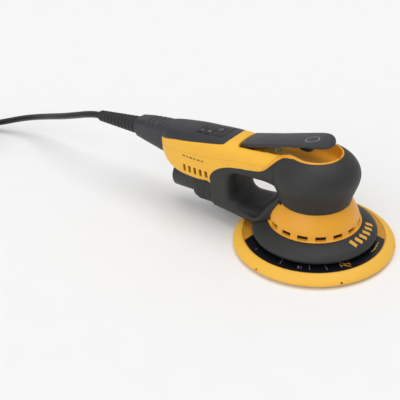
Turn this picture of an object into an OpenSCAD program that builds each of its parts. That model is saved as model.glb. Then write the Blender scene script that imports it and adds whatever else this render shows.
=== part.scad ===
// Random-orbit sander: a brushless motor stands in the palm head, an eccentric drives the
// round pad, a hinged paddle switches it on, and the dust leaves through a swivelling port.
// Frame: +X towards the nose, +Y to the left, +Z up. The origin is on the motor axis, in the
// plane of the sanding face.

/* [Pad] */
// Diameter of the pad
pad_d = 150; // [148:1:152]
// Diameter of the pad's orbit
orbit_d = 5; // [3:0.5:5]
// Thickness of the hook layer
hook_t = 1.3; // [1:0.1:1.4]
// Diameter of the stiff plate on top of the foam
plate_d = 131; // [130:0.5:131]
// Diameter of the dust holes
dust_hole_d = 8; // [6:0.5:9]

/* [Head] */
// Radius of the palm head at its widest
head_r = 39.5; // [39:0.1:40.5]
// Height of the widest part of the head
head_z = 73.5; // [73:0.5:75]
// Height of the dome above the widest part
dome_h = 26.3; // [26:0.1:26.6]
// Height of the rim that the paddle tray sits in
rim_z = 94.4; // [94:0.1:94.7]
// Wall thickness of the housings
wall = 2.2; // [2:0.1:2.4]

/* [Neck and shroud] */
// Radius of the lip under the neck
lip_r = 42.7; // [42.2:0.1:43]
// Number of air slots round the neck
slot_count = 16; // [12:1:18]
// Width of one air slot
slot_w = 9.4; // [8:0.2:10]
// Radius of the shroud's lower edge
shroud_r = 57.2; // [57:0.1:58]

/* [Body] */
// Rear end of the body
rear_x = -167; // [-168:0.5:-166]
// Widest half width of the body
body_w = 24; // [23:0.5:25]
// Number of air vents on each side
vent_count = 5; // [3:1:5]

/* [Paddle] */
// Half width of the paddle near its tip
paddle_w = 15; // [14.5:0.1:15.5]
// Thickness of the paddle
paddle_t = 4; // [3.5:0.1:4.2]

/* [Dust port] */
// Height of the port's axis
port_z = 31; // [30.8:0.1:31.2]
// Outside radius of the port's tube
port_r = 13.4; // [13:0.1:13.6]

/* [Cord] */
// Diameter of the cord
cord_d = 7.5; // [7.4:0.1:7.6]
// Radius of the middle of the stored turns
coil_r = 45; // [44:0.5:46]
// Radial and vertical thickness of the stored bundle
coil_t = 30; // [29:0.5:31]

/* [Hidden] */
$fn = 64;
far = 200;

orbit = orbit_d / 2;
// The direction in which the pad's axis rests, off the motor axis
orbit_at = 135;
pad_r = pad_d / 2;
foam_bed_z = 7.6;
dome_power = 2;
port_bore_r = 11.4;
pin_x = -64;
pin_z = 82.5;
pin_r = 1.5;
screw_r = 1.5;
coil_at = [-495, -76, 1];
relief_start = [-206.5, 0, 72];
relief_l = 59;
relief_tilt = 1.5;
// The cord's route from the strain relief to the stored turns
cord_route = [[-265.5, 0, 70.5], [-275, 0, 69.5], [-289, 0.5, 66.4], [-304, 2, 61.8],
  [-322, 4.5, 56], [-342, 8, 49.6], [-364, 12.5, 42.8], [-388, 17.5, 35.2], [-412, 20, 28.2],
  [-436, 18, 21.6], [-458, 12.5, 15.4], [-478, 5, 10.4], [-496, -4, 6.8], [-511, -14, 5.2],
  [-524, -25, 4.75], [-534.8, -36.2, 4.75]];
// The cord's last stretch, from the top of the turns to the plug, from the coil's middle
tail_route = [[-39.1, 34, 26.25], [-44.8, 26.4, 27.2], [-48.8, 17.6, 29], [-50.6, 8, 31.8],
  [-49.6, -2, 35.2], [-45.6, -11.6, 38.6], [-38.6, -19.8, 41.6], [-29.4, -25.4, 43.6],
  [-18.6, -27.8, 44.2], [-16, -28, 44.2]];
plug_at = coil_at + [-16, -28, 44.2];
pad_top_z = 11.2;
plate_top_z = 10.6;
yellow = "#EBAE38";
dark = "#3A3A3B";
black = "#17181B";
steel = "#B9BCC0";
alloy = "#C9CBCE";

// A section of a shell: [x, top z, side z, bottom z, half width, upper and lower squareness]
body_sections = [
  [rear_x, 86.2, 69, 53, 13.2, 4, 4],
  [-162, 86.7, 68.5, 48.8, 16.2, 4, 4.6],
  [-155, 87.2, 68.5, 45.4, 19, 3.8, 5],
  [-145, 88, 69, 42.3, 21, 3.6, 6],
  [-130, 89.2, 70, 41, 23, 3.3, 6],
  [-112, 90.2, 71, 40.6, body_w, 3, 5],
  [-92, 91, 72, 44, body_w, 3, 3.4],
  [-72, 90.6, 73, 50, body_w - 0.5, 3, 2.6],
  [-50, 90.8, 74, 56, body_w, 2.8, 2.6],
  [-32, 92, 74, 58, body_w + 1, 2.6, 2.6],
  [-12, 93.5, 74, 60, body_w + 2, 2.4, 2.6]];
stem_sections = [
  [-104.5, 74, 50, 12.8, 20.8, 3, 3.8],
  [-90, 74, 50, 13, 22.2, 3, 4.4],
  [-76, 74, 46, 13.2, 23.8, 2.6, 4.8],
  [-60, 74, 40, 13.4, 26.4, 2.6, 4.8],
  [-44, 74, 36, 13.6, 29, 2.6, 4.6],
  [-20, 74, 46, 16, 24, 3, 4]];
channel_sections = [
  [-100.5, port_z + 12.6, port_z, port_z - 12.6, 12.6, 2, 2],
  [-94, 40, 28, 17.4, 14.5, 2.2, 2.2],
  [-85, 26, 22, 18.6, 14, 3, 3],
  [-62, 26, 22, 19, 14.2, 3, 3],
  [-44, 26, 22, 19.2, 14.2, 3, 3]];
connector_sections = [
  [rear_x, 85.7, 70, 53.4, 12.6, 5, 3.6],
  [-180, 85, 71, 56.4, 12.1, 5.4, 3.6],
  [-194, 83.9, 71.5, 59.2, 11.2, 5.4, 3.4],
  [-206.5, 82.4, 72, 61.6, 10.1, 4.6, 3]];

// The border between the yellow housings and the dark grip, seen from the side, as [x, z]
border = [[-106, 30], [-106, 43.6], [-102.2, 43.6], [-102.2, 48], [-99.8, 54.6], [-94, 60.6],
  [-85, 65.8], [-72, 69.2], [-58, 71.2], [-44, 73.4], [-36.5, 77], [-30, 84.2], [-24.5, 89.6],
  [-18, 92.4], [-10, rim_z], [60, rim_z]];
// The line where the upper cover meets the lower housing
crease = [[rear_x - 6, 66], [-111, 71.5], [-30, 80.4]];
// The slanting seam between the covers and the paddle tray
seam_top = [-25.5, 96];
seam_foot = [-43, 73];
// The side outline of the finger gap
gap_outline = [[-71, 29], [-51, 29], [-46, 31], [-36, 45], [-30, 52], [-22, 56], [-30, 60.5],
  [-42, 62.6], [-70, 62], [-76, 59], [-78, 54], [-77.5, 37], [-75.5, 31.5]];
panel_outline = [[rear_x - 0.5, 74.2], [-145, 79.6], [-113, 84.2], [-88.5, 87.2], [-83.5, 90.4],
  [-83.5, 110], [rear_x - 0.5, 110]];

// ---- shapes that repeat ----

function bend(v, power) = sign(v) * pow(abs(v), 2 / power);

// One closed ring of points round a section, drawn in by inset
function ring(s, inset, n) = [for (i = [0 : n - 1])
  let (c = cos(360 * i / n), k = sin(360 * i / n),
       power = k >= 0 ? s[5] : s[6],
       h = (k >= 0 ? s[1] - s[2] : s[2] - s[3]) - inset)
  [s[0], (s[4] - inset) * bend(c, power), s[2] + h * bend(k, power)]];

// A closed skin through rings that all have the same number of points
module skin(rings) {
  n = len(rings[0]);
  last = len(rings) - 1;
  polyhedron(
    points = [for (r = rings) each r],
    faces = concat(
      [[for (i = [0 : n - 1]) i]],
      [[for (i = [n - 1 : -1 : 0]) last * n + i]],
      [for (j = [0 : last - 1]) for (i = [0 : n - 1]) let (k = (i + 1) % n)
        [j * n + i, (j + 1) * n + i, (j + 1) * n + k]],
      [for (j = [0 : last - 1]) for (i = [0 : n - 1]) let (k = (i + 1) % n)
        [j * n + i, (j + 1) * n + k, j * n + k]]));
}

module loft(sections, inset = 0, n = 28) {
  skin([for (s = sections) ring(s, inset, n)]);
}

// A plate cut to an outline that is drawn from the side
module side_plate(outline, half_w = 100) {
  rotate([90, 0, 0])
    linear_extrude(height = 2 * half_w, center = true)
      polygon(outline);
}

// A straight tube with a bore
module pipe(r_out, r_in, z0, z1) {
  translate([0, 0, z0])
    difference() {
      cylinder(r = r_out, h = z1 - z0);
      translate([0, 0, -1]) cylinder(r = r_in, h = z1 - z0 + 2);
    }
}

module on_orbit() {
  translate([orbit * cos(orbit_at), orbit * sin(orbit_at), 0]) children();
}

// A tube swept along a route, with level side vectors
function unit(v) = v / norm(v);
function tangent(route, i) = unit(route[min(i + 1, len(route) - 1)] - route[max(i - 1, 0)]);
module sweep(route, r, n = 12) {
  skin([for (i = [0 : len(route) - 1])
    let (t = tangent(route, i),
         side = unit(cross([0, 0, 1], t)),
         up = cross(t, side))
    [for (k = [0 : n - 1])
      route[i] - r * cos(360 * k / n) * side + r * sin(360 * k / n) * up]]);
}

// ---- envelopes that several pieces are cut from ----

// A skin turned round the motor axis from [radius, z] points, lowest first
module turned_skin(profile, n = 48) {
  skin([for (p = profile) [for (k = [0 : n - 1])
    [p[0] * cos(360 * k / n), p[0] * sin(360 * k / n), p[1]]]]);
}

// The palm head: a bowl that flares from the neck, then a low dome
module head_skin(inset = 0) {
  turned_skin(concat(
    [[32.2 - inset, 49.3 - inset], [32.6 - inset, 51.4], [33.8 - inset, 56.2],
     [36 - inset, 62.2], [38.2 - inset, 68]],
    [for (a = [0 : 9 : 81])
      [(head_r - inset) * bend(cos(a), dome_power),
       head_z + (dome_h - inset) * bend(sin(a), dome_power)]]), 40);
}

// The space that the neck ring and the shroud need
module neck_space() {
  turned_skin([[shroud_r + 0.6, 5], [shroud_r + 0.6, 18.6], [56.4, 20.6], [52.6, 23.3],
    [47.2, 26], [lip_r + 0.5, 27.7], [lip_r + 0.5, 28.3],
    [41.4, 28.6], [41.1, 31.2], [39.5, 37.1], [36.3, 43.5], [32.5, 49.3]]);
}

module yellow_zone() {
  side_plate(concat(border, [[60, 120], [-175, 120], [-175, 30]]));
}

module panel_zone() {
  side_plate(panel_outline);
}

module tray_zone() {
  side_plate([seam_top, seam_foot, [60, 60], [60, 120], [seam_top[0], 120]]);
}

module above_crease() {
  side_plate(concat(crease, [[60, 90], [60, 130], [-180, 130], [-180, crease[0][1]]]));
}

// The hole for the fingers, with mouths that widen in two steps
module finger_gap(grow = 0) {
  for (step = [[-1, 0], [17, 1.8], [19.6, 4.4]])
    for (side = [-1, 1])
      translate([0, side * (step[0] - grow + far / 2), 0])
        rotate([90, 0, 0])
          linear_extrude(height = far, center = true)
            offset(delta = grow + step[1])
              polygon(gap_outline);
}

// Outer form of the covers and the palm head
module body_form(inset = 0) {
  loft(body_sections, inset);
}

// The pocket in the top that the paddle swings in, and the shallow saddle around it
module paddle_pocket(grow = 0) {
  intersection() {
    translate([-71.6 - grow, -13.7 - grow, 0]) cube([73, 27.4 + 2 * grow, 130]);
    side_plate([[-73.6, 83.6 - grow], [20, 92.4 - grow], [20, 130], [-73.6, 130]]);
  }
  side_plate([[-75, 93 - grow], [-72.6, 87.2 - grow], [-50, 88.6 - grow], [-30, 90.6 - grow],
    [-20, 95.8 - grow], [-20, 130], [-75, 130]]);
}

// The hollow under the tip of the paddle, with a round front
module tray_recess(grow = 0) {
  translate([0, 0, 84.4 - grow])
    linear_extrude(height = 40) {
      translate([1, 0]) circle(r = 21 + grow);
      polygon([[-50 - grow, -12 - grow], [-28, -13.4 - grow], [-14, -17 - grow],
        [-3, -20.6 - grow], [-3, 20.6 + grow], [-14, 17 + grow], [-28, 13.4 + grow],
        [-50 - grow, 12 + grow]]);
    }
}

// ---- pad ----

module dust_holes() {
  for (i = [0 : 7])
    rotate([0, 0, 45 * i + 20])
      translate([32.5, 0, -1])
        cylinder(d = dust_hole_d, h = 12);
  for (i = [0 : 11])
    rotate([0, 0, 30 * i + 5])
      translate([52, 0, -1])
        cylinder(d = dust_hole_d * 0.7, h = 12);
}

module pad_hook_layer() {
  color("#C8C4BA")
    on_orbit()
      difference() {
        cylinder(r = pad_r - 4.2, h = hook_t);
        dust_holes();
      }
}

module pad_foam() {
  color("#EFB942")
    on_orbit()
      difference() {
        rotate_extrude()
          polygon([[0, hook_t], [pad_r - 4, hook_t], [pad_r - 1.6, 2.2], [pad_r - 0.3, 3.3],
            [pad_r, 4.3], [pad_r - 0.4, 5.4], [pad_r - 2.5, 7.5], [pad_r - 6, 10.1],
            [pad_r - 8.2, pad_top_z],
            [plate_d / 2 + 0.1, pad_top_z], [plate_d / 2 + 0.1, foam_bed_z],
            [0, foam_bed_z]]);
        dust_holes();
        for (a = [-102 : 60 : 198])
          rotate([0, 0, a])
            translate([pad_r - 8, 0, 4.9])
              rotate([0, 90, 0])
                cylinder(d = 2.6, h = 20, $fn = 24);
      }
}

module pad_plate() {
  color("#E2A02C")
    on_orbit()
      difference() {
        union() {
          translate([0, 0, foam_bed_z]) cylinder(d = plate_d, h = plate_top_z - foam_bed_z);
          translate([0, 0, plate_top_z]) cylinder(r = 13, h = 3.6);
        }
        translate([0, 0, foam_bed_z - 1]) cylinder(r = 4, h = 10);
        translate([0, 0, foam_bed_z - 1]) cylinder(r = 9, h = 3, $fn = 6);
      }
}

// A printed film on the plate, with slanting ends
module pad_label() {
  in_r = 45;
  out_r = 65;
  function polar(r, a) = [r * cos(a), r * sin(a)];
  color(black)
    on_orbit()
      translate([0, 0, plate_top_z])
        linear_extrude(height = 0.4)
          difference() {
            circle(r = out_r);
            circle(r = in_r);
            polygon([[0, 0], polar(42.2, 48.6), polar(69.7, 17.2), polar(100, 20), polar(100, 65),
              polar(100, 155), polar(100, 226), polar(69.8, 228.9), polar(42.3, 196.1)]);
          }
}

module pad_stud() {
  color(steel)
    on_orbit() {
      translate([0, 0, foam_bed_z + 0.1]) cylinder(r = 8.9, h = 1.9, $fn = 6);
      translate([0, 0, foam_bed_z + 1]) cylinder(r = 3.95, h = 14.4);
    }
}

module spindle() {
  color(steel)
    on_orbit()
      difference() {
        union() {
          translate([0, 0, 14.2]) cylinder(r = 9, h = 3.3);
          translate([0, 0, 17.4]) cylinder(r = 5, h = 9.2);
        }
        translate([0, 0, 13]) cylinder(r = 4, h = 11);
      }
}

module spindle_bearing_inner() {
  color(steel) on_orbit() pipe(7.4, 5, 17.8, 25.8);
}

// ---- rotor ----

module motor_shaft() {
  color(steel)
    union() {
      difference() {
        on_orbit() translate([0, 0, 17.8]) cylinder(r = 16, h = 10.4);
        on_orbit() translate([0, 0, 17]) cylinder(r = 13, h = 9);
        on_orbit() translate([0, 0, 17]) cylinder(r = 10, h = 10);
      }
      translate([0, 0, 27.5]) cylinder(r = 8, h = 2.5);
      translate([0, 0, 29]) cylinder(r = 6, h = 38);
      translate([0, 0, 66]) cylinder(r = 4, h = 13);
    }
}

module counterweight() {
  color("#8E7B4E")
    difference() {
      translate([0, 0, 18.2])
        rotate_extrude(angle = 170, start = orbit_at + 95)
          square([32, 6.4]);
      on_orbit() translate([0, 0, 17]) cylinder(r = 16, h = 12);
    }
}

module spindle_bearing_outer() {
  color(steel) on_orbit() pipe(13, 8.4, 17.9, 25.9);
}

module motor_bearing_inner() {
  color(steel) {
    pipe(8.6, 6, 30.2, 38);
    pipe(6, 4, 70.5, 77.3);
  }
}

module rotor_core() {
  color("#6E6F72") pipe(12.6, 6, 45, 64);
}

module rotor_magnets() {
  color("#4C4E52")
    for (i = [0 : 5])
      rotate([0, 0, 60 * i])
        translate([0, 0, 45])
          rotate_extrude(angle = 54)
            translate([12.6, 0])
              square([2.2, 19]);
}

module cooling_fan() {
  color("#2E2F31")
    union() {
      pipe(9.5, 6, 38.4, 43);
      pipe(25, 9, 42, 43);
      for (i = [0 : 10])
        rotate([0, 0, 360 * i / 11])
          translate([9, -0.6, 38.4])
            cube([15.5, 1.2, 3.8]);
    }
}

// ---- motor and bearings that stand still ----

module motor_bearing_outer() {
  color(steel) {
    pipe(14, 9.8, 30.2, 38);
    pipe(11, 7, 70.5, 77.3);
  }
}

module stator_core() {
  color("#7A7C80")
    union() {
      pipe(27.4, 23.6, 45.5, 63.5);
      for (i = [0 : 8])
        rotate([0, 0, 40 * i]) {
          translate([16.5, -1.8, 45.5]) cube([7.6, 3.6, 18]);
          translate([15.3, -4.2, 45.5]) cube([1.4, 8.4, 18]);
        }
    }
}

module stator_windings() {
  color("#B4662A")
    for (i = [0 : 8])
      rotate([0, 0, 40 * i])
        difference() {
          translate([17.2, -4, 43.6]) cube([5.8, 8, 21.8]);
          translate([16, -1.9, 45.4]) cube([8, 3.8, 18.2]);
        }
}

module motor_housing() {
  color(alloy)
    difference() {
      union() {
        pipe(29.4, 27.5, 43.8, 66);
        pipe(18, 14, 29.4, 38.2);
        pipe(36, 17, 29.4, 31.4);
        for (a = [30 : 60 : 330])
          rotate([0, 0, a])
            translate([27.5, -2.5, 30.4])
              cube([1.9, 5, 15]);
      }
      for (a = [45 : 90 : 315])
        rotate([0, 0, a])
          translate([33, 0, 25])
            cylinder(r = 1.5, h = 10, $fn = 24);
    }
}

module end_bell() {
  color(alloy)
    difference() {
      union() {
        pipe(29.4, 11, 66, 68.4);
        pipe(13, 11, 68, 77.6);
      }
      for (a = [0 : 60 : 300])
        rotate([0, 0, a])
          translate([20.5, 0, 60])
            cylinder(r = 3.5, h = 12);
    }
}

// ---- shroud and neck ----

module brake_seal() {
  color(black)
    rotate_extrude()
      polygon([[49.6, 11.8], [51.2, 11.8], [54.8, 14.8], [54.8, 17], [53.2, 17], [53.2, 15.8]]);
}

module shroud() {
  color(dark)
    difference() {
      rotate_extrude()
        polygon([[54.9, 14.2], [56.6, 15.6], [shroud_r, 17.4], [shroud_r, 18.2],
          [56.2, 19.8], [52.4, 22.6], [47, 25.4], [43.6, 26.9], [42.4, 27.2], [37, 27.2],
          [37, 29.3], [20.5, 29.3], [20.5, 25], [41.8, 25], [46, 22.8], [50.6, 19.8],
          [53, 17.2], [54.9, 17.2]]);
      loft([for (s = channel_sections) if (s[0] > -86) s], -0.15);
      for (a = [45 : 90 : 315])
        rotate([0, 0, a])
          translate([33, 0, 20])
            cylinder(r = 1.5, h = 12, $fn = 24);
    }
}

module neck_ring() {
  color("#E9A42B")
    difference() {
      rotate_extrude()
        polygon([[38.4, 27.3], [lip_r, 27.3], [lip_r, 27.9], [41, 28.2], [40.8, 31],
          [39.2, 37], [36, 43.4], [32.3, 49.1], [30.1, 49.1], [33.8, 43.4], [37, 37],
          [38.6, 31]]);
      for (i = [0 : slot_count - 1])
        rotate([0, 0, 360 * (i + 0.5) / slot_count + 3])
          translate([34, -slot_w / 2, 28.2])
            cube([10, slot_w, 4.2]);
    }
}

// ---- housings ----

module grip_shell() {
  color(dark)
    difference() {
      union() {
        difference() {
          union() {
            body_form();
            loft(stem_sections);
          }
          finger_gap();
          translate([-300 - 104.5, -far, -1]) cube([300, 2 * far, 200]);
        }
        head_skin();
      }
      difference() {
        union() {
          body_form(wall);
          loft(stem_sections, wall);
          translate([-110, -17, port_z - 15]) cube([12, 34, 32]);
        }
        finger_gap(wall);
      }
      head_skin(wall);
      yellow_zone();
      tray_recess(1.8);
      neck_space();
    }
}

module cover_shell() {
  difference() {
    union() {
      body_form();
      intersection() {
        head_skin();
        tray_zone();
      }
    }
    difference() {
      union() {
        body_form(wall);
        head_skin(wall);
      }
      paddle_pocket(1.8);
      tray_recess(1.8);
    }
    paddle_pocket();
    tray_recess();
  }
}

module lever_tray() {
  color("#E9A42B")
    intersection() {
      cover_shell();
      tray_zone();
      union() {
        yellow_zone();
        tray_recess(1.8);
      }
    }
}

module upper_cover() {
  color(yellow)
    difference() {
      union() {
        intersection() {
          difference() {
            cover_shell();
            tray_zone();
            panel_zone();
          }
          yellow_zone();
          above_crease();
        }
        for (side = [-1, 1])
          translate([pin_x - 3, side * 13.2 - 1.4, pin_z - 2.6])
            cube([6, 2.8, 4]);
      }
      for (side = [-1, 1])
        translate([pin_x - 5.4, side * 9.9 - 1.9, pin_z - 5])
          cube([10.8, 3.8, 12]);
      translate([pin_x, 20, pin_z]) rotate([90, 0, 0]) cylinder(r = pin_r, h = 40, $fn = 24);
    }
}

module screw_posts(r) {
  for (side = [-1, 1])
    for (x = [-142, -112])
      translate([x, side * 16.6, 45.5])
        cylinder(r = r, h = x < -120 ? 20 : 23);
}

module lower_housing() {
  color(yellow)
    difference() {
      union() {
        difference() {
          intersection() {
            body_form();
            yellow_zone();
          }
          body_form(wall);
          above_crease();
          tray_zone();
          panel_zone();
        }
        intersection() {
          screw_posts(3);
          body_form();
        }
      }
      screw_posts(screw_r);
      for (side = [-1, 1])
        for (i = [0 : vent_count - 1])
          translate([-133.8 + 6.7 * i, side * 24 - 6, 48.8])
            cube([3.3, 12, 8]);
      translate([-175, 0, port_z]) rotate([0, 90, 0]) cylinder(r = port_r + 0.6, h = 80);
    }
}

module control_panel() {
  color("#2F3033")
    difference() {
      intersection() {
        body_form();
        panel_zone();
      }
      body_form(wall);
      translate([-124, -12, 80]) cube([32, 24, 20]);
    }
}

// The keys, as [middle x, middle y, length, width]
keys = [[-119.3, -6.4, 7.6, 8.4], [-110.7, -6.4, 7.6, 8.4], [-102.4, 1.2, 7.4, 9]];
lens_x = -96;

module keypad_frame() {
  color("#232427")
    difference() {
      intersection() {
        body_form(0.35);
        translate([-123.8, -11.8, 84.5]) cube([31.6, 23.6, 12]);
      }
      for (k = keys)
        translate([k[0] - k[2] / 2 - 0.25, k[1] - k[3] / 2 - 0.25, 80])
          cube([k[2] + 0.5, k[3] + 0.5, 20]);
      translate([lens_x, 3.2, 80]) cylinder(r = 1.4, h = 20, $fn = 24);
    }
}

module status_lens() {
  color("#9BD08C")
    translate([lens_x, 3.2, 79]) cylinder(r = 1.4, h = 11.9, $fn = 24);
}

// One key: a square cap with a foot that presses its switch
module key(k, top_z) {
  translate([k[0] - k[2] / 2, k[1] - k[3] / 2, 84.8]) cube([k[2], k[3], top_z - 84.8]);
  translate([k[0], k[1], 80.4]) cylinder(r = 1.6, h = 5, $fn = 24);
}

module minus_button() {
  color("#2B2C2F") key(keys[0], 90);
}

module plus_button() {
  color("#2B2C2F") key(keys[1], 90.5);
}

module power_button() {
  color("#2B2C2F") key(keys[2], 91.2);
}

// ---- inside the body ----

module dust_channel() {
  color("#2C2D30")
    difference() {
      loft(channel_sections, 0, 24);
      loft(channel_sections, 1.3, 24);
    }
}

module control_board() {
  color("#2F6B43")
    union() {
      translate([-150, -15, 75.6]) cube([58, 30, 1.6]);
      for (k = keys)
        translate([k[0] - 2.5, k[1] - 2.5, 77]) cube([5, 5, 2.4]);
      translate([lens_x - 1.5, 1.7, 77]) cube([3, 3, 1.8]);
      translate([-150, -10, 70]) cube([12, 20, 5.8]);
    }
}

module capacitors() {
  color("#26282C")
    for (y = [-6.8, 6.8])
      translate([-134, y, 60.5]) rotate([0, 90, 0]) cylinder(r = 6.5, h = 30);
}

module power_inlet() {
  color(black)
    union() {
      translate([rear_x, 0, 67.5]) rotate([0, 90, 0]) cylinder(r = 8.4, h = 15);
      translate([-162, -9.5, 58]) cube([3, 19, 20]);
    }
}

module housing_screws() {
  color(steel)
    intersection() {
      screw_posts(screw_r);
      translate([-200, -far, 46]) cube([200, 2 * far, 60]);
    }
}

module shroud_screws() {
  color(steel)
    for (a = [45 : 90 : 315])
      rotate([0, 0, a])
        translate([33, 0, 0]) {
          translate([0, 0, 25.4]) cylinder(r = 1.5, h = 6.5, $fn = 24);
          translate([0, 0, 31.4]) cylinder(r = 2.6, h = 2, $fn = 24);
        }
}

// ---- paddle ----

module lever_pin() {
  color(steel)
    translate([pin_x, 14.2, pin_z]) rotate([90, 0, 0]) cylinder(r = pin_r, h = 28.4, $fn = 24);
}

module lever() {
  color("#2E2F32")
    difference() {
      union() {
        intersection() {
          side_plate([[-71, 84.6], [-71, 90.4], [-34, 98.8], [-2, 106.2], [6, 107],
            [12, 106.3], [16, 104.4], [14.4, 103.8], [8, 104.6], [-2, 103.8], [-16, 100.6],
            [-34, 99.4 - paddle_t], [-52, 94.8 - paddle_t]]);
          linear_extrude(height = 130)
            union() {
              translate([1.2, 0]) circle(r = paddle_w);
              polygon([[-71, -12.8], [-70, -13.2], [-40, -13.3], [-14, -14.4], [1.2, -paddle_w],
                [1.2, paddle_w], [-14, 14.4], [-40, 13.3], [-70, 13.2], [-71, 12.8]]);
            }
        }
        for (side = [-1, 1])
          translate([pin_x, side * 9.9, 0]) {
            translate([-3.4, -1.2, pin_z]) cube([6.8, 2.4, 6]);
            translate([0, 1.2, pin_z]) rotate([90, 0, 0]) cylinder(r = 3.4, h = 2.4);
          }
      }
      translate([pin_x, 30, pin_z]) rotate([90, 0, 0]) cylinder(r = pin_r + 0.06, h = 60);
      translate([-54, 0, 86]) cylinder(r = 2.5, h = 5.6);
    }
}

module lever_magnet() {
  color("#85878B") translate([-54, 0, 89.2]) cylinder(r = 2.5, h = 2.3);
}

module lever_spring() {
  turns = 4;
  per_turn = 12;
  color(steel)
    sweep([for (i = [0 : turns * per_turn])
      let (a = 360 * i / per_turn, part = i / (turns * per_turn))
      [-40 + 3 * cos(a), 3 * sin(a), 84.8 + 8.5 * part]], 0.4, 6);
}

// ---- dust port ----

module port_collar() {
  bore = port_r + 0.06;
  ridge = 19.4;
  groove = ridge - 0.8;
  color(dark)
    difference() {
      translate([-126.6, 0, port_z])
        rotate([0, 90, 0])
          rotate_extrude()
            polygon(concat([[bore, 0], [groove, 0]],
              [for (x = [1.2, 7.2, 13.2])
                each [[groove, x + 2.4], [ridge, x + 3], [ridge, x + 5.4], [groove, x + 6]]],
              [[ridge, 19.8], [ridge, 22], [14.9, 22], [14.9, 24.8], [bore, 24.8]]));
      body_form(-0.2);
    }
}

module hose_swivel() {
  color("#37383A")
    translate([-158, 0, port_z])
      rotate([0, 90, 0])
        rotate_extrude()
          polygon([[port_bore_r, 0], [port_r - 1.2, 0], [port_r, 1.4], [port_r, 41],
            [port_r - 0.9, 41], [port_r - 0.9, 43], [port_r, 43], [port_r, 57],
            [port_bore_r, 57]]);
}

module swivel_seal() {
  color(black)
    translate([-158, 0, port_z])
      rotate([0, 90, 0])
        rotate_extrude()
          polygon([[port_r - 0.9, 41.1], [port_r, 41.1], [port_r, 42.9], [port_r - 0.9, 42.9]]);
}

// ---- cable and cord ----

module cable_connector() {
  color("#3B3B3D")
    difference() {
      loft(connector_sections);
      for (i = [0 : 2])
        translate([-189.5 + 6.3 * i, -far, 83.1 + 0.4 * i]) cube([1.4, 2 * far, 5]);
    }
}

module strain_relief() {
  ribs = 11;
  pitch = relief_l / ribs;
  color("#303134")
    translate(relief_start)
      rotate([0, -90 - relief_tilt, 0])
        rotate_extrude()
          polygon(concat([[0, 0]],
            [for (i = [0 : ribs - 1])
              let (r = 9.4 - 3.6 * i / ribs, z = i * pitch)
              each [[r, z], [r, z + pitch * 0.62], [r - 1.3, z + pitch * 0.7],
                [r - 1.3, z + pitch * 0.96]]],
            [[5.2, relief_l], [0, relief_l]]));
}

module power_cord() {
  color(black) sweep(cord_route, cord_d / 2);
}

module cord_coil() {
  half = coil_t / 2;
  color(black)
    translate(coil_at)
      rotate_extrude()
        polygon([[coil_r - half, 4], [coil_r - half + 4, 0], [coil_r + half - 4, 0],
          [coil_r + half, 4], [coil_r + half, coil_t - 4], [coil_r + half - 4, coil_t],
          [coil_r - half + 4, coil_t], [coil_r - half, coil_t - 4]]);
}

module coil_tie() {
  half = coil_t / 2;
  color("#55565A")
    translate(coil_at)
      rotate([0, 0, -70])
        difference() {
          translate([coil_r - half - 1, -6, -1]) cube([coil_t + 2, 12, coil_t + 2]);
          translate([coil_r - half, -7, 0]) cube([coil_t, 14, coil_t]);
        }
}

module cord_tail() {
  color(black) sweep([for (p = tail_route) p + coil_at], cord_d / 2);
}

module plug_body() {
  color("#26272A")
    translate(plug_at)
      rotate([0, 90, 0])
        rotate_extrude()
          polygon([[0, 0], [5, 0], [5.4, 10], [6.4, 25], [9.5, 29], [13, 36], [13.8, 44],
            [13.8, 56], [13, 57], [0, 57]]);
}

module plug_pins() {
  color(steel)
    for (y = [-9.5, 9.5])
      translate(plug_at + [57, y, 0])
        rotate([0, 90, 0]) {
          cylinder(r = 2.4, h = 18, $fn = 24);
          translate([0, 0, 18]) cylinder(r1 = 2.4, r2 = 1.4, h = 1, $fn = 24);
        }
}

pad_hook_layer();
pad_foam();
pad_plate();
pad_label();
pad_stud();
spindle();
spindle_bearing_inner();
motor_shaft();
counterweight();
spindle_bearing_outer();
motor_bearing_inner();
rotor_core();
rotor_magnets();
cooling_fan();
motor_bearing_outer();
stator_core();
stator_windings();
motor_housing();
end_bell();
brake_seal();
shroud();
neck_ring();
grip_shell();
lever_tray();
upper_cover();
lower_housing();
control_panel();
keypad_frame();
status_lens();
dust_channel();
control_board();
capacitors();
power_inlet();
housing_screws();
shroud_screws();
lever_pin();
lever_spring();
lever();
lever_magnet();
power_button();
minus_button();
plus_button();
port_collar();
hose_swivel();
swivel_seal();
cable_connector();
strain_relief();
power_cord();
cord_coil();
coil_tie();
cord_tail();
plug_body();
plug_pins();
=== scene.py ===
# %% [markdown]
# # A random-orbit sander, finished in Blender
# The CAD model gives every piece its place and its size. This lesson loads it as a fixed frame,
# then models the shells that a mould would make, and gives every surface a finish.
# All shapes are drawn in millimetres, because that is how a maker thinks, and turned into metres
# when a piece is finished.

# %% Load the frame
import math

import bmesh
import bpy
from mathutils import Matrix, Vector


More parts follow.
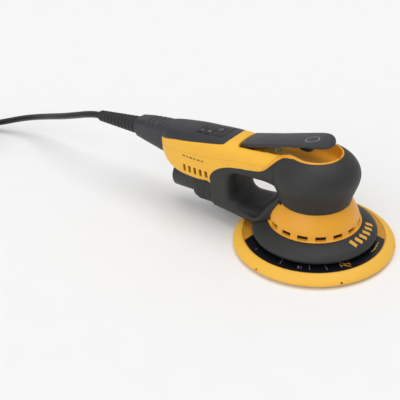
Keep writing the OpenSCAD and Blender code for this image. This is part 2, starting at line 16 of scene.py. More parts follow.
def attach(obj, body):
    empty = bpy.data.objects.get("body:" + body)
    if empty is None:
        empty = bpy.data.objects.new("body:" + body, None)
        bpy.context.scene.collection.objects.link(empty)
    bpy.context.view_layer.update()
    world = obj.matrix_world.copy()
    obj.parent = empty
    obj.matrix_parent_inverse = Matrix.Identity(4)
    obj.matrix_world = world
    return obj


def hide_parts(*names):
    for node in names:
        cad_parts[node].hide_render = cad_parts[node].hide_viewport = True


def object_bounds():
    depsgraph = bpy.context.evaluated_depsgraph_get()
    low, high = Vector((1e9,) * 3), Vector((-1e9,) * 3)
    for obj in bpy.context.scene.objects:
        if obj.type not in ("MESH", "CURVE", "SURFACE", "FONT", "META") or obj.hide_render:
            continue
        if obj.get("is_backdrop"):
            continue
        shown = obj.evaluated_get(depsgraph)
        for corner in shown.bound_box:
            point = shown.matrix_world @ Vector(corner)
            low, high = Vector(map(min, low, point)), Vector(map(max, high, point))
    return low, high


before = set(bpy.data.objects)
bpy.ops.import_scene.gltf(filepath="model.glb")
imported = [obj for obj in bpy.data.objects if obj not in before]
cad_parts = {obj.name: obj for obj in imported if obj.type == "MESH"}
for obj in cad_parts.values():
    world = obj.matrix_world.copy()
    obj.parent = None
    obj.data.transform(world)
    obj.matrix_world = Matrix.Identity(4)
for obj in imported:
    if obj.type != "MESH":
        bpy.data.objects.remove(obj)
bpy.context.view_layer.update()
MM = 0.001

# %% [markdown]
# ## The camera
# The picture of a tool on a table is taken from in front and above, with a long lens so that the
# pad stays round. The camera here stands 39 degrees round from the side of the tool and 30
# degrees up, and is tilted a little.

# %% Camera
azimuth, elevation, tilt = math.radians(39), math.radians(30.5), math.radians(-3.58)
aim = Vector((-103.6 * math.cos(azimuth), -103.6 * math.sin(azimuth), 53.4)) * MM
back = Vector((math.sin(azimuth) * math.cos(elevation),
               -math.cos(azimuth) * math.cos(elevation), math.sin(elevation)))
right = Vector((math.cos(azimuth), math.sin(azimuth), 0))
up = back.cross(right)
turned_right = right * math.cos(tilt) + up * math.sin(tilt)
turned_up = up * math.cos(tilt) - right * math.sin(tilt)
lens_data = bpy.data.cameras.new("camera")
lens_data.lens, lens_data.sensor_width = 61.11, 36
camera = bpy.data.objects.new("camera", lens_data)
bpy.context.scene.collection.objects.link(camera)
camera.matrix_world = Matrix((
    (turned_right.x, turned_up.x, back.x, aim.x + 0.61 * back.x),
    (turned_right.y, turned_up.y, back.y, aim.y + 0.61 * back.y),
    (turned_right.z, turned_up.z, back.z, aim.z + 0.61 * back.z),
    (0, 0, 0, 1)))
bpy.context.scene.camera = camera
bpy.context.scene.view_settings.view_transform = "Standard"
print("camera at", [round(v, 3) for v in camera.matrix_world.translation])

# %% [markdown]
# ## The mains cord
# A cord is a fixed length of something springy. It leaves the strain relief straight, sags to the
# floor, and what isn't needed is wound into a round coil. A curve with a round bevel is the
# simplest honest model: its own line is the middle of the cord, so its length can be measured.
# The coil is wound in four layers, each a spiral one cord wide per turn, inwards then outwards.

# %% Route of the cord
cord_d = 7.5
coil_at = Vector((-495, -76, 1))
cord_route = [(-265.5, 0, 70.5), (-275, 0, 69.5), (-289, 0.5, 66.4), (-304, 2, 61.8),
              (-322, 4.5, 56), (-342, 8, 49.6), (-364, 12.5, 42.8), (-388, 17.5, 35.2),
              (-412, 20, 28.2), (-436, 18, 21.6), (-458, 12.5, 15.4), (-478, 5, 10.4),
              (-496, -4, 6.8), (-511, -14, 5.2), (-524, -25, 4.75)]
tail_route = [(-44.8, 26.4, 27.2), (-48.8, 17.6, 29), (-50.6, 8, 31.8), (-49.6, -2, 35.2),
              (-45.6, -11.6, 38.6), (-38.6, -19.8, 41.6), (-29.4, -25.4, 43.6),
              (-18.6, -27.8, 44.2), (-16, -28, 44.2)]


def wound(start, turns, r0, r1, z0, z1):
    """Points round the coil: so many turns from start degrees, between two radii and heights."""
    steps = max(4, round(turns * 20))
    found = []
    for i in range(1, steps + 1):
        part = i / steps
        a = math.radians(start + 360 * turns * part)
        r, z = r0 + (r1 - r0) * part, z0 + (z1 - z0) * (3 - 2 * part) * part * part
        found.append(coil_at + Vector((r * math.cos(a), r * math.sin(a), z)))
    return found


outer_r, inner_r = 56.25, 33.75
coil_points = [coil_at + Vector((outer_r * math.cos(math.radians(135)),
                                 outer_r * math.sin(math.radians(135)), 3.75))]
at, near, far_r, height = 135, outer_r, inner_r, 3.75
for _ in range(3):
    coil_points += wound(at, 3, near, far_r, height, height)
    coil_points += wound(at, 0.25, far_r, far_r, height, height + cord_d)
    near, far_r, height, at = far_r, near, height + cord_d, at + 90
coil_points += wound(45, 2.261, inner_r, 51.8, height, height)
line = [Vector(p) for p in cord_route] + coil_points + [coil_at + Vector(p) for p in tail_route]

curve = bpy.data.curves.new("mains_cord", "CURVE")
curve.dimensions, curve.resolution_u, curve.use_fill_caps = "3D", 3, True
curve.bevel_depth, curve.bevel_resolution = 1, 3
spline = curve.splines.new("BEZIER")
spline.bezier_points.add(len(line) - 1)
# The depth of the bevel is one, so the radius of each point is the cord's own radius.
for bez, p in zip(spline.bezier_points, line):
    bez.co, bez.radius = p * MM, cord_d / 2 * MM
    bez.handle_left_type = bez.handle_right_type = "AUTO"
mains_cord = bpy.data.objects.new("mains_cord", curve)
bpy.context.scene.collection.objects.link(mains_cord)
bpy.context.view_layer.update()
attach(mains_cord, "housing")
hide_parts("power_cord", "cord_coil", "cord_tail")

# %% [markdown]
# ## Small tools for modelling
# Each shell starts as a bmesh made with an operator: a spin for turned pieces, a row of circles
# joined by bridges for soft ones, and an extrusion for plates. The helpers turn it into an
# object, apply its modifiers and settle it into the frame.

# %% Helpers that make and finish pieces
def as_object(name, bm):
    mesh = bpy.data.meshes.new(name)
    bm.to_mesh(mesh)
    bm.free()
    made = bpy.data.objects.new(name, mesh)
    bpy.context.scene.collection.objects.link(made)
    return made


def bake(thing):
    """Applies the modifiers of an object to its mesh."""
    bpy.context.view_layer.update()
    seen = thing.evaluated_get(bpy.context.evaluated_depsgraph_get())
    mesh = bpy.data.meshes.new_from_object(seen)
    thing.modifiers.clear()
    old, thing.data = thing.data, mesh
    bpy.data.meshes.remove(old)


def modify(thing, kind, **settings):
    modifier = thing.modifiers.new(kind.lower(), kind)
    for key, value in settings.items():
        setattr(modifier, key, value)
    bake(thing)


def cut(thing, tool, operation="DIFFERENCE", solver="EXACT"):
    """Cuts a shape with another, which is thrown away."""
    modify(thing, "BOOLEAN", object=tool, operation=operation, solver=solver)
    bpy.data.objects.remove(tool)


def settle(thing, body, *nodes, sharp=40):
    """Turns millimetres into metres, shades the piece and makes it ride on its body."""
    thing.data.transform(Matrix.Scale(MM, 4))
    thing.data.shade_smooth()
    thing.data.set_sharp_from_angle(angle=math.radians(sharp))
    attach(thing, body)
    if nodes:
        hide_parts(*nodes)
    return thing


def round_edges(bm, width, angle=28, segments=2):
    """Bevels every edge that turns by more than an angle."""
    edges = [e for e in bm.edges if e.is_manifold and e.calc_face_angle() > math.radians(angle)]
    bmesh.ops.bevel(bm, geom=edges, offset=width, offset_type="OFFSET", segments=segments,
                    profile=0.5, affect="EDGES", material=-1, clamp_overlap=True)


def spun(profile, steps=128, edge=0.0, closed=False):
    """A piece turned round Z from (radius, z) points. An open profile starts and ends on the axis."""
    bm = bmesh.new()
    verts = [bm.verts.new((r, 0, z)) for r, z in profile]
    edges = [bm.edges.new(pair) for pair in zip(verts, verts[1:])]
    if closed:
        edges.append(bm.edges.new((verts[-1], verts[0])))
    bmesh.ops.spin(bm, geom=verts + edges, cent=(0, 0, 0), axis=(0, 0, 1), angle=2 * math.pi,
                   steps=steps, use_merge=True, use_duplicate=False)
    bmesh.ops.remove_doubles(bm, verts=bm.verts, dist=0.0005)
    bmesh.ops.recalc_face_normals(bm, faces=bm.faces)
    if edge:
        round_edges(bm, edge)
    return bm


def prism(outline, low, high, plane="XZ"):
    """A plate with the given outline, from one depth to another."""
    bm = bmesh.new()
    lift = (lambda a, b, d: (a, d, b)) if plane == "XZ" else (lambda a, b, d: (a, b, d))
    face = bm.faces.new([bm.verts.new(lift(a, b, low)) for a, b in outline])
    grown = bmesh.ops.extrude_face_region(bm, geom=[face])["geom"]
    bmesh.ops.translate(bm, verts=[g for g in grown if isinstance(g, bmesh.types.BMVert)],
                        vec=Vector(lift(0, 0, high)) - Vector(lift(0, 0, low)))
    bmesh.ops.recalc_face_normals(bm, faces=bm.faces)
    return bm


def block(bm, x, y, z):
    """Adds a box between the given pairs of limits."""
    place = Matrix.Translation([(a + b) / 2 for a, b in (x, y, z)])
    size = Matrix.Diagonal([b - a for a, b in (x, y, z)] + [1])
    return bmesh.ops.create_cube(bm, size=1, matrix=place @ size)["verts"]


# %% [markdown]
# Soft shells are lofts: a few sections say how wide, how tall and how square the body is at each
# station. A smooth curve through those numbers gives as many rings as needed.

# %% Lofts
def smooth_rows(rows, step):
    """Rows of numbers between the given ones, on a smooth curve along the first number."""
    slopes = []
    for i in range(len(rows)):
        a, b = rows[max(i - 1, 0)], rows[min(i + 1, len(rows) - 1)]
        slopes.append([(q - p) / (b[0] - a[0]) for p, q in zip(a, b)])
    found = [rows[0]]
    for i in range(len(rows) - 1):
        a, b, run = rows[i], rows[i + 1], rows[i + 1][0] - rows[i][0]
        count = max(1, round(run / step))
        for k in range(1, count + 1):
            t = k / count
            t2, t3 = t * t, t * t * t
            found.append([p * (2 * t3 - 3 * t2 + 1) + m * run * (t3 - 2 * t2 + t)
                          + q * (3 * t2 - 2 * t3) + n * run * (t3 - t2)
                          for p, q, m, n in zip(a, b, slopes[i], slopes[i + 1])])
    return found


def bend(value, power):
    return math.copysign(abs(value) ** (2 / power), value)


def loft(rows, step=3, count=96):
    """A closed skin through sections [x, top, side, bottom, half width, two squarenesses]."""
    bm = bmesh.new()
    loops = []
    for x, top, side, bottom, half, over, under in smooth_rows(rows, step):
        verts = bmesh.ops.create_circle(bm, segments=count, radius=1, cap_ends=False)["verts"]
        loops.append({e for v in verts for e in v.link_edges})
        for v in verts:
            c, k = v.co.x, v.co.y
            power, tall = (over, top - side) if k >= 0 else (under, side - bottom)
            v.co = (x, half * bend(c, power), side + tall * bend(k, power))
    for one, other in zip(loops, loops[1:]):
        bmesh.ops.bridge_loops(bm, edges=list(one | other))
    bmesh.ops.holes_fill(bm, edges=[e for e in bm.edges if e.is_boundary], sides=0)
    bmesh.ops.recalc_face_normals(bm, faces=bm.faces)
    return bm


# %% [markdown]
# ## The body as one soft form
# On the real tool the yellow covers, the dark soft grip and the paddle tray share one flowing
# surface. So the whole form is made first, as if it were carved from one block: a long body, a
# stem below it, a finger gap through the stem and a round palm head. A voxel remesh melts them
# together, and a smoothing pass gives the large radii that a soft moulding has.

# %% Sections of the body
rear_x, port_z = -167, 31
body_rows = [[-174, 85.6, 69, 56, 11, 4, 4], [rear_x, 86.3, 69, 52.6, 13.2, 4, 4],
             [-162, 86.8, 68.5, 48.4, 16.2, 4, 4.6], [-155, 87.3, 68.5, 45, 19, 3.8, 5],
             [-145, 88.1, 69, 42.1, 21, 3.6, 6], [-130, 89.3, 70, 41, 23, 3.3, 6],
             [-112, 90.2, 71, 40.6, 24, 3, 5], [-92, 91, 72, 44, 24, 3, 3.4],
             [-72, 90.6, 73, 50, 23.5, 3, 2.6], [-50, 90.8, 74, 56, 24, 2.8, 2.6],
             [-32, 92, 74, 58, 25, 2.6, 2.6], [-12, 93.5, 74, 60, 26, 2.4, 2.6]]
stem_rows = [[-104.5, 74, 50, 12.7, 20.9, 3, 3.8], [-90, 74, 50, 12.9, 22.4, 3, 4.4],
             [-76, 74, 46, 13.1, 24, 2.6, 4.8], [-60, 74, 40, 13.3, 26.8, 2.6, 4.8],
             [-44, 74, 36, 13.5, 29.6, 2.6, 4.6], [-20, 74, 46, 16, 24, 3, 4]]
gap_outline = [(-71, 29), (-51, 29), (-46, 31), (-36, 45), (-30, 51), (-17, 55), (-28, 59.4),
               (-42, 61.2), (-70, 60.4), (-75, 58.4), (-77.5, 54), (-77.5, 37), (-75.5, 31.5)]
head_r, head_z, dome_h, rim_z = 39.5, 73.5, 26.3, 94.4
head_profile = [(0, 44), (31.9, 44), (32.4, 49.3), (32.9, 51.4), (34.1, 56.2), (36.3, 62.2),
                (38.4, 68)]
head_profile += [(head_r * math.cos(math.radians(a)), head_z + dome_h * math.sin(math.radians(a)))
                 for a in range(0, 90, 5)] + [(0, head_z + dome_h)]

# %% Carve the form
form = as_object("form", loft(body_rows))
stem = as_object("stem", loft(stem_rows))
modify(form, "BOOLEAN", object=stem, operation="UNION", solver="EXACT")
bpy.data.objects.remove(stem)
middle = Vector((-54, 0, 46))
for low, high, grow in ((-17, 17, 1), (-20, -16, 1.06), (16, 20, 1.06), (-23, -19, 1.13),
                        (19, 23, 1.13), (-60, -22, 1.24), (22, 60, 1.24)):
    tool = prism(gap_outline, low, high)
    bmesh.ops.scale(tool, verts=tool.verts, vec=(grow, 1, grow),
                    space=Matrix.Translation(-middle))
    cut(form, as_object("gap_tool", tool))
head = as_object("head", spun(head_profile))
modify(form, "BOOLEAN", object=head, operation="UNION", solver="EXACT")
bpy.data.objects.remove(head)
modify(form, "REMESH", mode="VOXEL", voxel_size=1.3)
modify(form, "SMOOTH", factor=0.5, iterations=8)
saddle = [(-75, 95), (-73.2, 90.6), (-72.2, 87.2), (-50, 88.6), (-30, 90.6), (-20, 95.8), (-20, 130),
          (-75, 130)]
cut(form, as_object("saddle_tool", prism(saddle, -60, 60)))
slope = as_object("slope_tool", prism([(-72.6, 83.6), (20, 92.4), (20, 130), (-72.6, 130)],
                                      -13.9, 13.9))
bay = as_object("bay_tool", prism([(-72.6, -13.9), (1.4, -13.9), (1.4, 13.9), (-72.6, 13.9)],
                                  60, 130, "XY"))
cut(slope, bay, "INTERSECT")
cut(form, slope)
bowl_2d = [(1 + 21 * math.cos(math.radians(a)), 21 * math.sin(math.radians(a)))
           for a in range(-100, 101, 5)]
bowl_2d += [(-14, 17), (-28, 13.4), (-50, 12), (-50, -12), (-28, -13.4), (-14, -17)]
cut(form, as_object("bowl_tool", prism(bowl_2d, 84.4, 130, "XY")))
modify(form, "REMESH", mode="VOXEL", voxel_size=0.95)
modify(form, "SMOOTH", factor=0.5, iterations=4)
neck_space = [(0, 5), (57.8, 5), (57.8, 18.6), (56.4, 20.6), (52.6, 23.3), (47.2, 26),
              (43.2, 27.7), (43.2, 28.3),
              (41.4, 28.6), (41.1, 31.2), (39.5, 37.1), (36.3, 43.5), (32.5, 49.3), (0, 49.3)]
cut(form, as_object("neck_tool", spun(neck_space)))
port_space = spun([(0, -60), (14, -60), (14, 70), (0, 70)], 48)
port_space.transform(Matrix.Translation((-166, 0, port_z)) @ Matrix.Rotation(math.pi / 2, 4, "Y"))
print("form:", len(form.data.polygons), "faces")

# %% [markdown]
# ## Splitting the form along its seams
# The borders between the pieces are lines seen from the side. Each one is cut into the surface
# with bisecting planes, then every face is given to the piece it belongs to. The edge of each
# piece is pushed in a little, which draws the fine seam, and Solidify gives the wall.

# %% Seams and borders
border = [(-106, 30), (-106, 43.6), (-102.2, 43.6), (-102.2, 48), (-101.3, 51.6),
          (-99.3, 55.2), (-96.6, 58.4), (-93.4, 61.1), (-89.4, 63.8), (-84.6, 66), (-78.6, 67.9), (-72, 69.2), (-58, 71.2), (-50, 72.2),
          (-44, 73.6), (-40, 75.3), (-36.5, 78), (-33, 81.6), (-30, 84.8), (-27, 87.7),
          (-24, 90), (-21, 91.6), (-17, 92.9), (-10, rim_z), (60, rim_z)]
crease = [(-180, 65.5), (-111, 71.5), (-30, 80.4), (60, 90.3)]
seam = [(-25.5, 96), (-43, 73)]
panel_line = [(-180, 71.2), (-145, 79.6), (-113, 84.2), (-91, 86.9), (-87.6, 87.5), (-85.8, 88.4),
              (-83.5, 91)]
keypad = (-123.8, -92.2, -11.8, 11.8)
keys = {"minus_key": (-123.1, -115.5, -10.6, -2.2), "plus_key": (-114.5, -106.9, -10.6, -2.2),
        "power_key": (-106.1, -98.7, -3.3, 5.7)}


def above(line_points, x, z):
    """True if a point lies above a line that runs from left to right."""
    for (x0, z0), (x1, z1) in zip(line_points, line_points[1:]):
        if x0 <= x <= x1 and x1 > x0:
            return z > z0 + (z1 - z0) * (x - x0) / (x1 - x0)
    return False


def inside(limits, x, y):
    return limits[0] < x < limits[1] and limits[2] < y < limits[3]


def owner(co):
    """The piece that a point of the form belongs to."""
    x, y, z = co
    in_bowl = z > 84 and (math.hypot(x - 1, y) < 21.9 or (-50 < x < 1 and abs(y) < 14))
    if -180 < x < -83.5 and above(panel_line, x, z):
        for name, limits in keys.items():
            if inside(limits, x, y):
                return name
        return "keypad_frame" if inside(keypad, x, y) else "control_panel"
    ahead = x > seam[1][0] + (z - seam[1][1]) * (seam[0][0] - seam[1][0]) / (seam[0][1] - seam[1][1])
    if not (in_bowl or x < -106 or (x < -102.2 and z > 43.6) or above(border[2:], x, z)):
        return "grip_shell"
    if ahead:
        return "lever_tray"
    return "upper_cover" if above(crease, x, z) else "lower_housing"


def score(bm, a, b, faces_near):
    """Cuts the surface along the plane that stands on a line seen from the side."""
    (x0, z0), (x1, z1) = a, b
    faces = [f for f in bm.faces if faces_near(f.calc_center_median())]
    parts = set(faces) | {e for f in faces for e in f.edges} | {v for f in faces for v in f.verts}
    bmesh.ops.bisect_plane(bm, geom=list(parts), dist=0.002, plane_co=(x0, 0, z0),
                           plane_no=Vector((z1 - z0, 0, x0 - x1)).normalized())


# %% Cut the form into its shells
bm = bmesh.new()
bm.from_mesh(form.data)
bpy.data.objects.remove(form)
for line_points in (border, crease, seam, panel_line):
    for a, b in zip(line_points, line_points[1:]):
        x_low, x_high = sorted((a[0], b[0]))
        z_low, z_high = sorted((a[1], b[1]))
        score(bm, a, b, lambda c: x_low - 2 < c.x < x_high + 2 and z_low - 2 < c.z < z_high + 2)
for limits in (keypad, *keys.values()):
    for k, value in enumerate(limits):
        nose = Vector((1, 0, 0)) if k < 2 else Vector((0, 1, 0))
        faces = [f for f in bm.faces if f.calc_center_median().z > 84
                 and -126 < f.calc_center_median().x < -90]
        parts = set(faces) | {e for f in faces for e in f.edges} | {v for f in faces for v in f.verts}
        bmesh.ops.bisect_plane(bm, geom=list(parts), dist=0.002, plane_co=nose * value,
                               plane_no=nose)
everything = list(bm.verts) + list(bm.edges) + list(bm.faces)
bmesh.ops.bisect_plane(bm, geom=everything, dist=0.002, plane_co=(rear_x, 0, 0),
                       plane_no=(-1, 0, 0), clear_outer=True)
bmesh.ops.delete(bm, context="FACES", geom=[
    f for f in bm.faces if abs(f.calc_center_median().z - 49.3) < 0.05
    and f.calc_center_median().xy.length < 32.4])
bmesh.ops.triangulate(bm, faces=[f for f in bm.faces if len(f.verts) > 4])
names = sorted({owner(f.calc_center_median()) for f in bm.faces})
bm.normal_update()
form_mesh = bpy.data.meshes.new("form_mesh")
bm.to_mesh(form_mesh)
bm.free()
print("pieces of the form:", names)


def shell(name, groove=0.35, proud=0.0, wall=2.0):
    """One piece of the form: its own faces, with a pushed-in edge and a wall."""
    bm = bmesh.new()
    bm.from_mesh(form_mesh)
    bmesh.ops.delete(bm, geom=[f for f in bm.faces if owner(f.calc_center_median()) != name],
                     context="FACES")
    normals = {v: v.normal.copy() for v in bm.verts}
    rim = {v for e in bm.edges if e.is_boundary for v in e.verts}
    for v, normal in normals.items():
        v.co += normal * (proud - (groove if v in rim else 0))
    made = as_object(name + "_skin", bm)
    modify(made, "SOLIDIFY", thickness=wall, offset=-1, use_even_offset=False)
    return made


# %% [markdown]
# ### Covers, grip and panel
# Every shell now gets its own small features: the vents are slots right through the lower
# housing, and the dust tube passes under it.

# %% Make the shells
grip = shell("grip_shell", wall=1.8)
settle(grip, "housing", "grip_shell", sharp=50)
tray = settle(shell("lever_tray"), "housing", "lever_tray", sharp=50)
upper = settle(shell("upper_cover"), "housing", "upper_cover", sharp=50)
lower = shell("lower_housing", wall=2.6)
cut(lower, as_object("port_tool", port_space), solver="MANIFOLD")
vents = bmesh.new()
for side in (-1, 1):
    for i in range(5):
        x = -133.8 + 6.7 * i
        block(vents, (x, x + 3.3), (side * 24 - 6, side * 24 + 6), (48.8, 56.8))
round_edges(vents, 0.8)
cut(lower, as_object("vent_tool", vents), solver="MANIFOLD")
settle(lower, "housing", "lower_housing", sharp=50)
panel = settle(shell("control_panel"), "housing", "control_panel", sharp=50)
pad_frame = settle(shell("keypad_frame", groove=0.5, proud=0.15), "housing", "keypad_frame",
                   sharp=50)
key_nodes = {"minus_key": "minus_button", "plus_key": "plus_button", "power_key": "power_button"}
key_caps = {body: settle(shell(body, groove=0.6, proud=0.5, wall=3.2), body, node, sharp=50)
            for body, node in key_nodes.items()}
print("shell faces:", {o.name: len(o.data.polygons) for o in (grip, tray, upper, lower, panel)})

# %% [markdown]
# ## Turned pieces
# The pad, the shroud, the neck ring, the port and the plug are all round, so each is a profile
# spun round its axis, with its corners bevelled first.

# %% Pad, shroud and neck ring
orbit = Matrix.Translation((-1.768, 1.768, 0))
foam = spun([(0, 1.35), (71, 1.35), (73.4, 2.2), (74.7, 3.3), (75, 4.4), (74.6, 5.5), (72.6, 7.5),
             (69.1, 10.1), (67, 11.15), (65.65, 11.15), (65.65, 7.65), (0, 7.65)], 160, 0.45)
foam.transform(orbit)
pad_foam = as_object("pad_foam_skin", foam)
drills = bmesh.new()
for k in range(6):
    a = math.radians(-102 + 60 * k)
    way = orbit @ Matrix.Rotation(a, 4, "Z") @ Matrix.Translation((73, 0, 4.9))
    bmesh.ops.create_cone(drills, cap_ends=True, segments=20, radius1=1.35, radius2=1.35, depth=12,
                          matrix=way @ Matrix.Rotation(math.pi / 2, 4, "Y"))
cut(pad_foam, as_object("drill_tool", drills))
settle(pad_foam, "pad", "pad_foam")

shroud = spun([(54.9, 14.2), (56.6, 15.6), (57.2, 17.3), (57.2, 18.2), (56.2, 19.8), (52.4, 22.6),
               (47, 25.4), (43.7, 26.9), (42.4, 27.2), (37, 27.2), (37, 29.3), (20.5, 29.3),
               (20.5, 25), (41.8, 25), (46, 22.8), (50.6, 19.8), (53, 17.2), (54.9, 17.2)],
              160, 0.3, closed=True)
shroud_skin = settle(as_object("shroud_skin", shroud), "housing", "shroud")

ring = spun([(38.4, 27.35), (42.7, 27.35), (42.7, 27.9), (41.1, 28.4), (40.8, 31), (40.2, 34.2),
             (39.1, 37.4), (37.7, 40.5), (36, 43.5), (34.2, 46.3), (32.3, 49.2), (30.2, 49.2),
             (33.8, 43.5), (37, 37.3), (38.6, 31)], 160, 0.25, closed=True)
neck = as_object("neck_ring_skin", ring)
slots = bmesh.new()
for i in range(16):
    made = block(slots, (34, 44), (-4.7, 4.7), (28.3, 32.3))
    turn = Matrix.Rotation(math.radians(360 * (i + 0.5) / 16 + 3), 4, "Z")
    bmesh.ops.transform(slots, verts=made, matrix=turn)
round_edges(slots, 0.5)
cut(neck, as_object("slot_tool", slots))
settle(neck, "housing", "neck_ring")

# %% Dust port, strain relief and plug
along_x = Matrix.Rotation(math.pi / 2, 4, "Y")
collar_profile = [(13.5, 0), (18, 0)]
for start in (1.2, 7.2, 13.2):
    collar_profile += [(18.6, start + 1), (18.6, start + 2.4), (19.4, start + 3),
                       (19.4, start + 5.4)]
collar_profile += [(19.4, 22), (14.9, 22), (14.9, 24.7), (13.5, 24.7)]
collar = spun(collar_profile, 96, 0.25, closed=True)
collar.transform(Matrix.Translation((-126.6, 0, port_z)) @ along_x)
collar_skin = as_object("port_collar_skin", collar)
cut(collar_skin, as_object("belly", loft([[x, top, side, bottom - 0.2, half + 0.2, over, under]
                                          for x, top, side, bottom, half, over, under
                                          in body_rows])))
settle(collar_skin, "housing", "port_collar")
tube = spun([(11.4, 0.05), (12.2, 0.05), (13.4, 1.3), (13.4, 41), (12.5, 41), (12.5, 43),
             (13.4, 43), (13.4, 56.9), (11.4, 56.9)], 96, 0.35, closed=True)
tube.transform(Matrix.Translation((-158, 0, port_z)) @ along_x)
port_tube = settle(as_object("hose_swivel_skin", tube), "dust_port", "hose_swivel")

relief_profile = [(0, 0.1)]
ribs, pitch = 11, 59 / 11
for i in range(ribs):
    r, z = 9.4 - 3.6 * i / ribs, i * pitch
    relief_profile += [(r, max(z, 0.1)), (r, z + pitch * 0.6), (r - 1.2, z + pitch * 0.7),
                       (r - 1.2, z + pitch * 0.93)]
relief_profile += [(5.3, 58.95), (0, 58.95)]
relief = spun(relief_profile, 64, 0.22)
relief.transform(Matrix.Translation((-206.5, 0, 72)) @ Matrix.Rotation(math.radians(-91.5), 4, "Y"))
relief_skin = settle(as_object("strain_relief_skin", relief), "housing", "strain_relief")

plug_at = coil_at + Vector((-16, -28, 44.2))
plug = spun([(0, 0.1), (5, 0.1), (5.4, 10), (6.4, 25), (9.5, 29), (13, 36), (13.8, 44), (13.8, 56),
             (13, 56.9), (0, 56.9)], 64, 0.6)
plug.transform(Matrix.Translation(plug_at) @ along_x)
plug_skin = settle(as_object("plug_body_skin", plug), "housing", "plug_body")

# %% [markdown]
# ### The connector behind the body
# The cable plugs into the back of the tool with a tapered block. It is another loft, with three
# shallow finger grooves pressed into its top.

# %% Connector
connector_rows = [[rear_x + 0.1, 84.7, 70, 54.4, 11.7, 5, 3.6],
                  [rear_x - 1, 85.6, 70, 53.6, 12.5, 5, 3.6], [-180, 85, 71, 56.4, 12.1, 5.4, 3.6],
                  [-194, 83.9, 71.5, 59.2, 11.2, 5.4, 3.4], [-206.4, 82.4, 72, 61.6, 10.1, 4.6, 3]]
bm = loft(connector_rows[::-1], step=0.5, count=72)
for v in bm.verts:
    if v.co.z > 79:
        near_groove = min(abs(v.co.x + 188.8 - 6.3 * i) for i in range(3))
        v.co.z -= 1.1 * max(0.0, 1 - near_groove / 1.1)
round_edges(bm, 0.6, angle=60)
connector = settle(as_object("cable_connector_skin", bm), "housing", "cable_connector")

# %% [markdown]
# ## The paddle
# The paddle is a long plate that rises towards the nose and ends in a half circle. It is the
# meeting of two plates: its side outline and its plan. Bevels give it the soft edge of a
# moulding, and two ears below carry the pin.

# %% Paddle
top_line = smooth_rows([[-71, 90.4], [-34, 98.8], [-14, 103.6], [-2, 106.2], [6, 107], [12, 106.3],
                        [16.4, 103.8]], 2)
under_line = smooth_rows([[-71, 84.7], [-60, 88.3], [-50, 91.2], [-34, 95.5], [-16, 100.6],
                          [-2, 103.8], [8, 104.6], [14.4, 103.8]], 2)
plan = [(-71, -12.8), (-70.2, -13.2), (-40, -13.3), (-14, -14.3)]
plan += [(1.2 + 15 * math.cos(math.radians(a)), 15 * math.sin(math.radians(a)))
         for a in range(-90, 91, 5)]
plan += [(-14, 14.3), (-40, 13.3), (-70.2, 13.2), (-71, 12.8)]
paddle = as_object("lever_skin", prism([*top_line, *under_line[::-1]], -30, 30))
cut(paddle, as_object("plan_tool", prism(plan, 60, 130, "XY")), "INTERSECT")
bm = bmesh.new()
bm.from_mesh(paddle.data)
bmesh.ops.dissolve_limit(bm, angle_limit=math.radians(1), verts=bm.verts, edges=bm.edges)
round_edges(bm, 0.9, angle=35, segments=3)
bm.to_mesh(paddle.data)
bm.free()
for side in (-9.9, 9.9):
    ear = prism([(-67.4, 82.5), (-66.4, 80.1), (-64, 79.1), (-61.6, 80.1), (-60.6, 82.5),
                 (-60.6, 90.2), (-67.4, 88)], side - 1.2, side + 1.2)
    modify(paddle, "BOOLEAN", object=as_object("ear", ear), operation="UNION", solver="EXACT")
    bpy.data.objects.remove(bpy.data.objects["ear"])
pin_hole = spun([(0, -30), (1.56, -30), (1.56, 30), (0, 30)], 24)
pin_hole.transform(Matrix.Translation((-64, 0, 82.5)) @ Matrix.Rotation(math.pi / 2, 4, "X"))
cut(paddle, as_object("pin_tool", pin_hole))
settle(paddle, "paddle", "lever", sharp=35)
print("paddle faces:", len(paddle.data.polygons))

# %% [markdown]
# ## Printed marks
# Marks are thin inked shapes. Each is drawn flat, dropped onto the surface under it with
# Shrinkwrap, and given the thickness of a film of ink. They are plain symbols: a ring, a plus,
# a minus, a power sign and a few scale lines.

# %% Marks
def flat_bar(bm, cx, cy, long, wide, angle=0.0):
    """A small flat bar, split along its length so that it can follow a curve."""
    made = bmesh.ops.create_grid(bm, x_segments=max(1, round(long / 1.5)), y_segments=1, size=0.5)
    place = Matrix.Translation((cx, cy, 0)) @ Matrix.Rotation(angle, 4, "Z")
    bmesh.ops.transform(bm, verts=made["verts"], matrix=place @ Matrix.Diagonal((long, wide, 1, 1)))


def flat_ring(bm, cx, cy, outer, inner, gap=0):
    """A flat ring, open at the top by some degrees."""
    steps = 40
    edge = [bm.verts.new((cx + r, cy, 0)) for r in (outer, inner)]
    line_of_two = bm.edges.new(edge)
    bmesh.ops.rotate(bm, verts=edge, cent=(cx, cy, 0),
                     matrix=Matrix.Rotation(math.radians(gap / 2), 3, "Z"))
    bmesh.ops.spin(bm, geom=edge + [line_of_two], cent=(cx, cy, 0), axis=(0, 0, 1),
                   angle=math.radians(360 - gap), steps=steps, use_merge=gap == 0)


def print_on(name, bm, target, body, lift=0.06, aim_axis="z"):
    """Drops a flat shape onto a finished piece and makes it a film of ink."""
    ink = as_object(name, bm)
    ink.data.transform(Matrix.Scale(MM, 4))
    modify(ink, "SHRINKWRAP", target=target, wrap_method="PROJECT", use_negative_direction=True,
           use_positive_direction=aim_axis == "y", use_project_z=aim_axis == "z",
           use_project_y=aim_axis == "y", wrap_mode="ABOVE_SURFACE", offset=lift * MM)
    modify(ink, "SOLIDIFY", thickness=0.05 * MM, offset=-1)
    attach(ink, body)
    return ink


def raised(bm, height):
    bmesh.ops.translate(bm, verts=bm.verts, vec=(0, 0, height))
    return bm


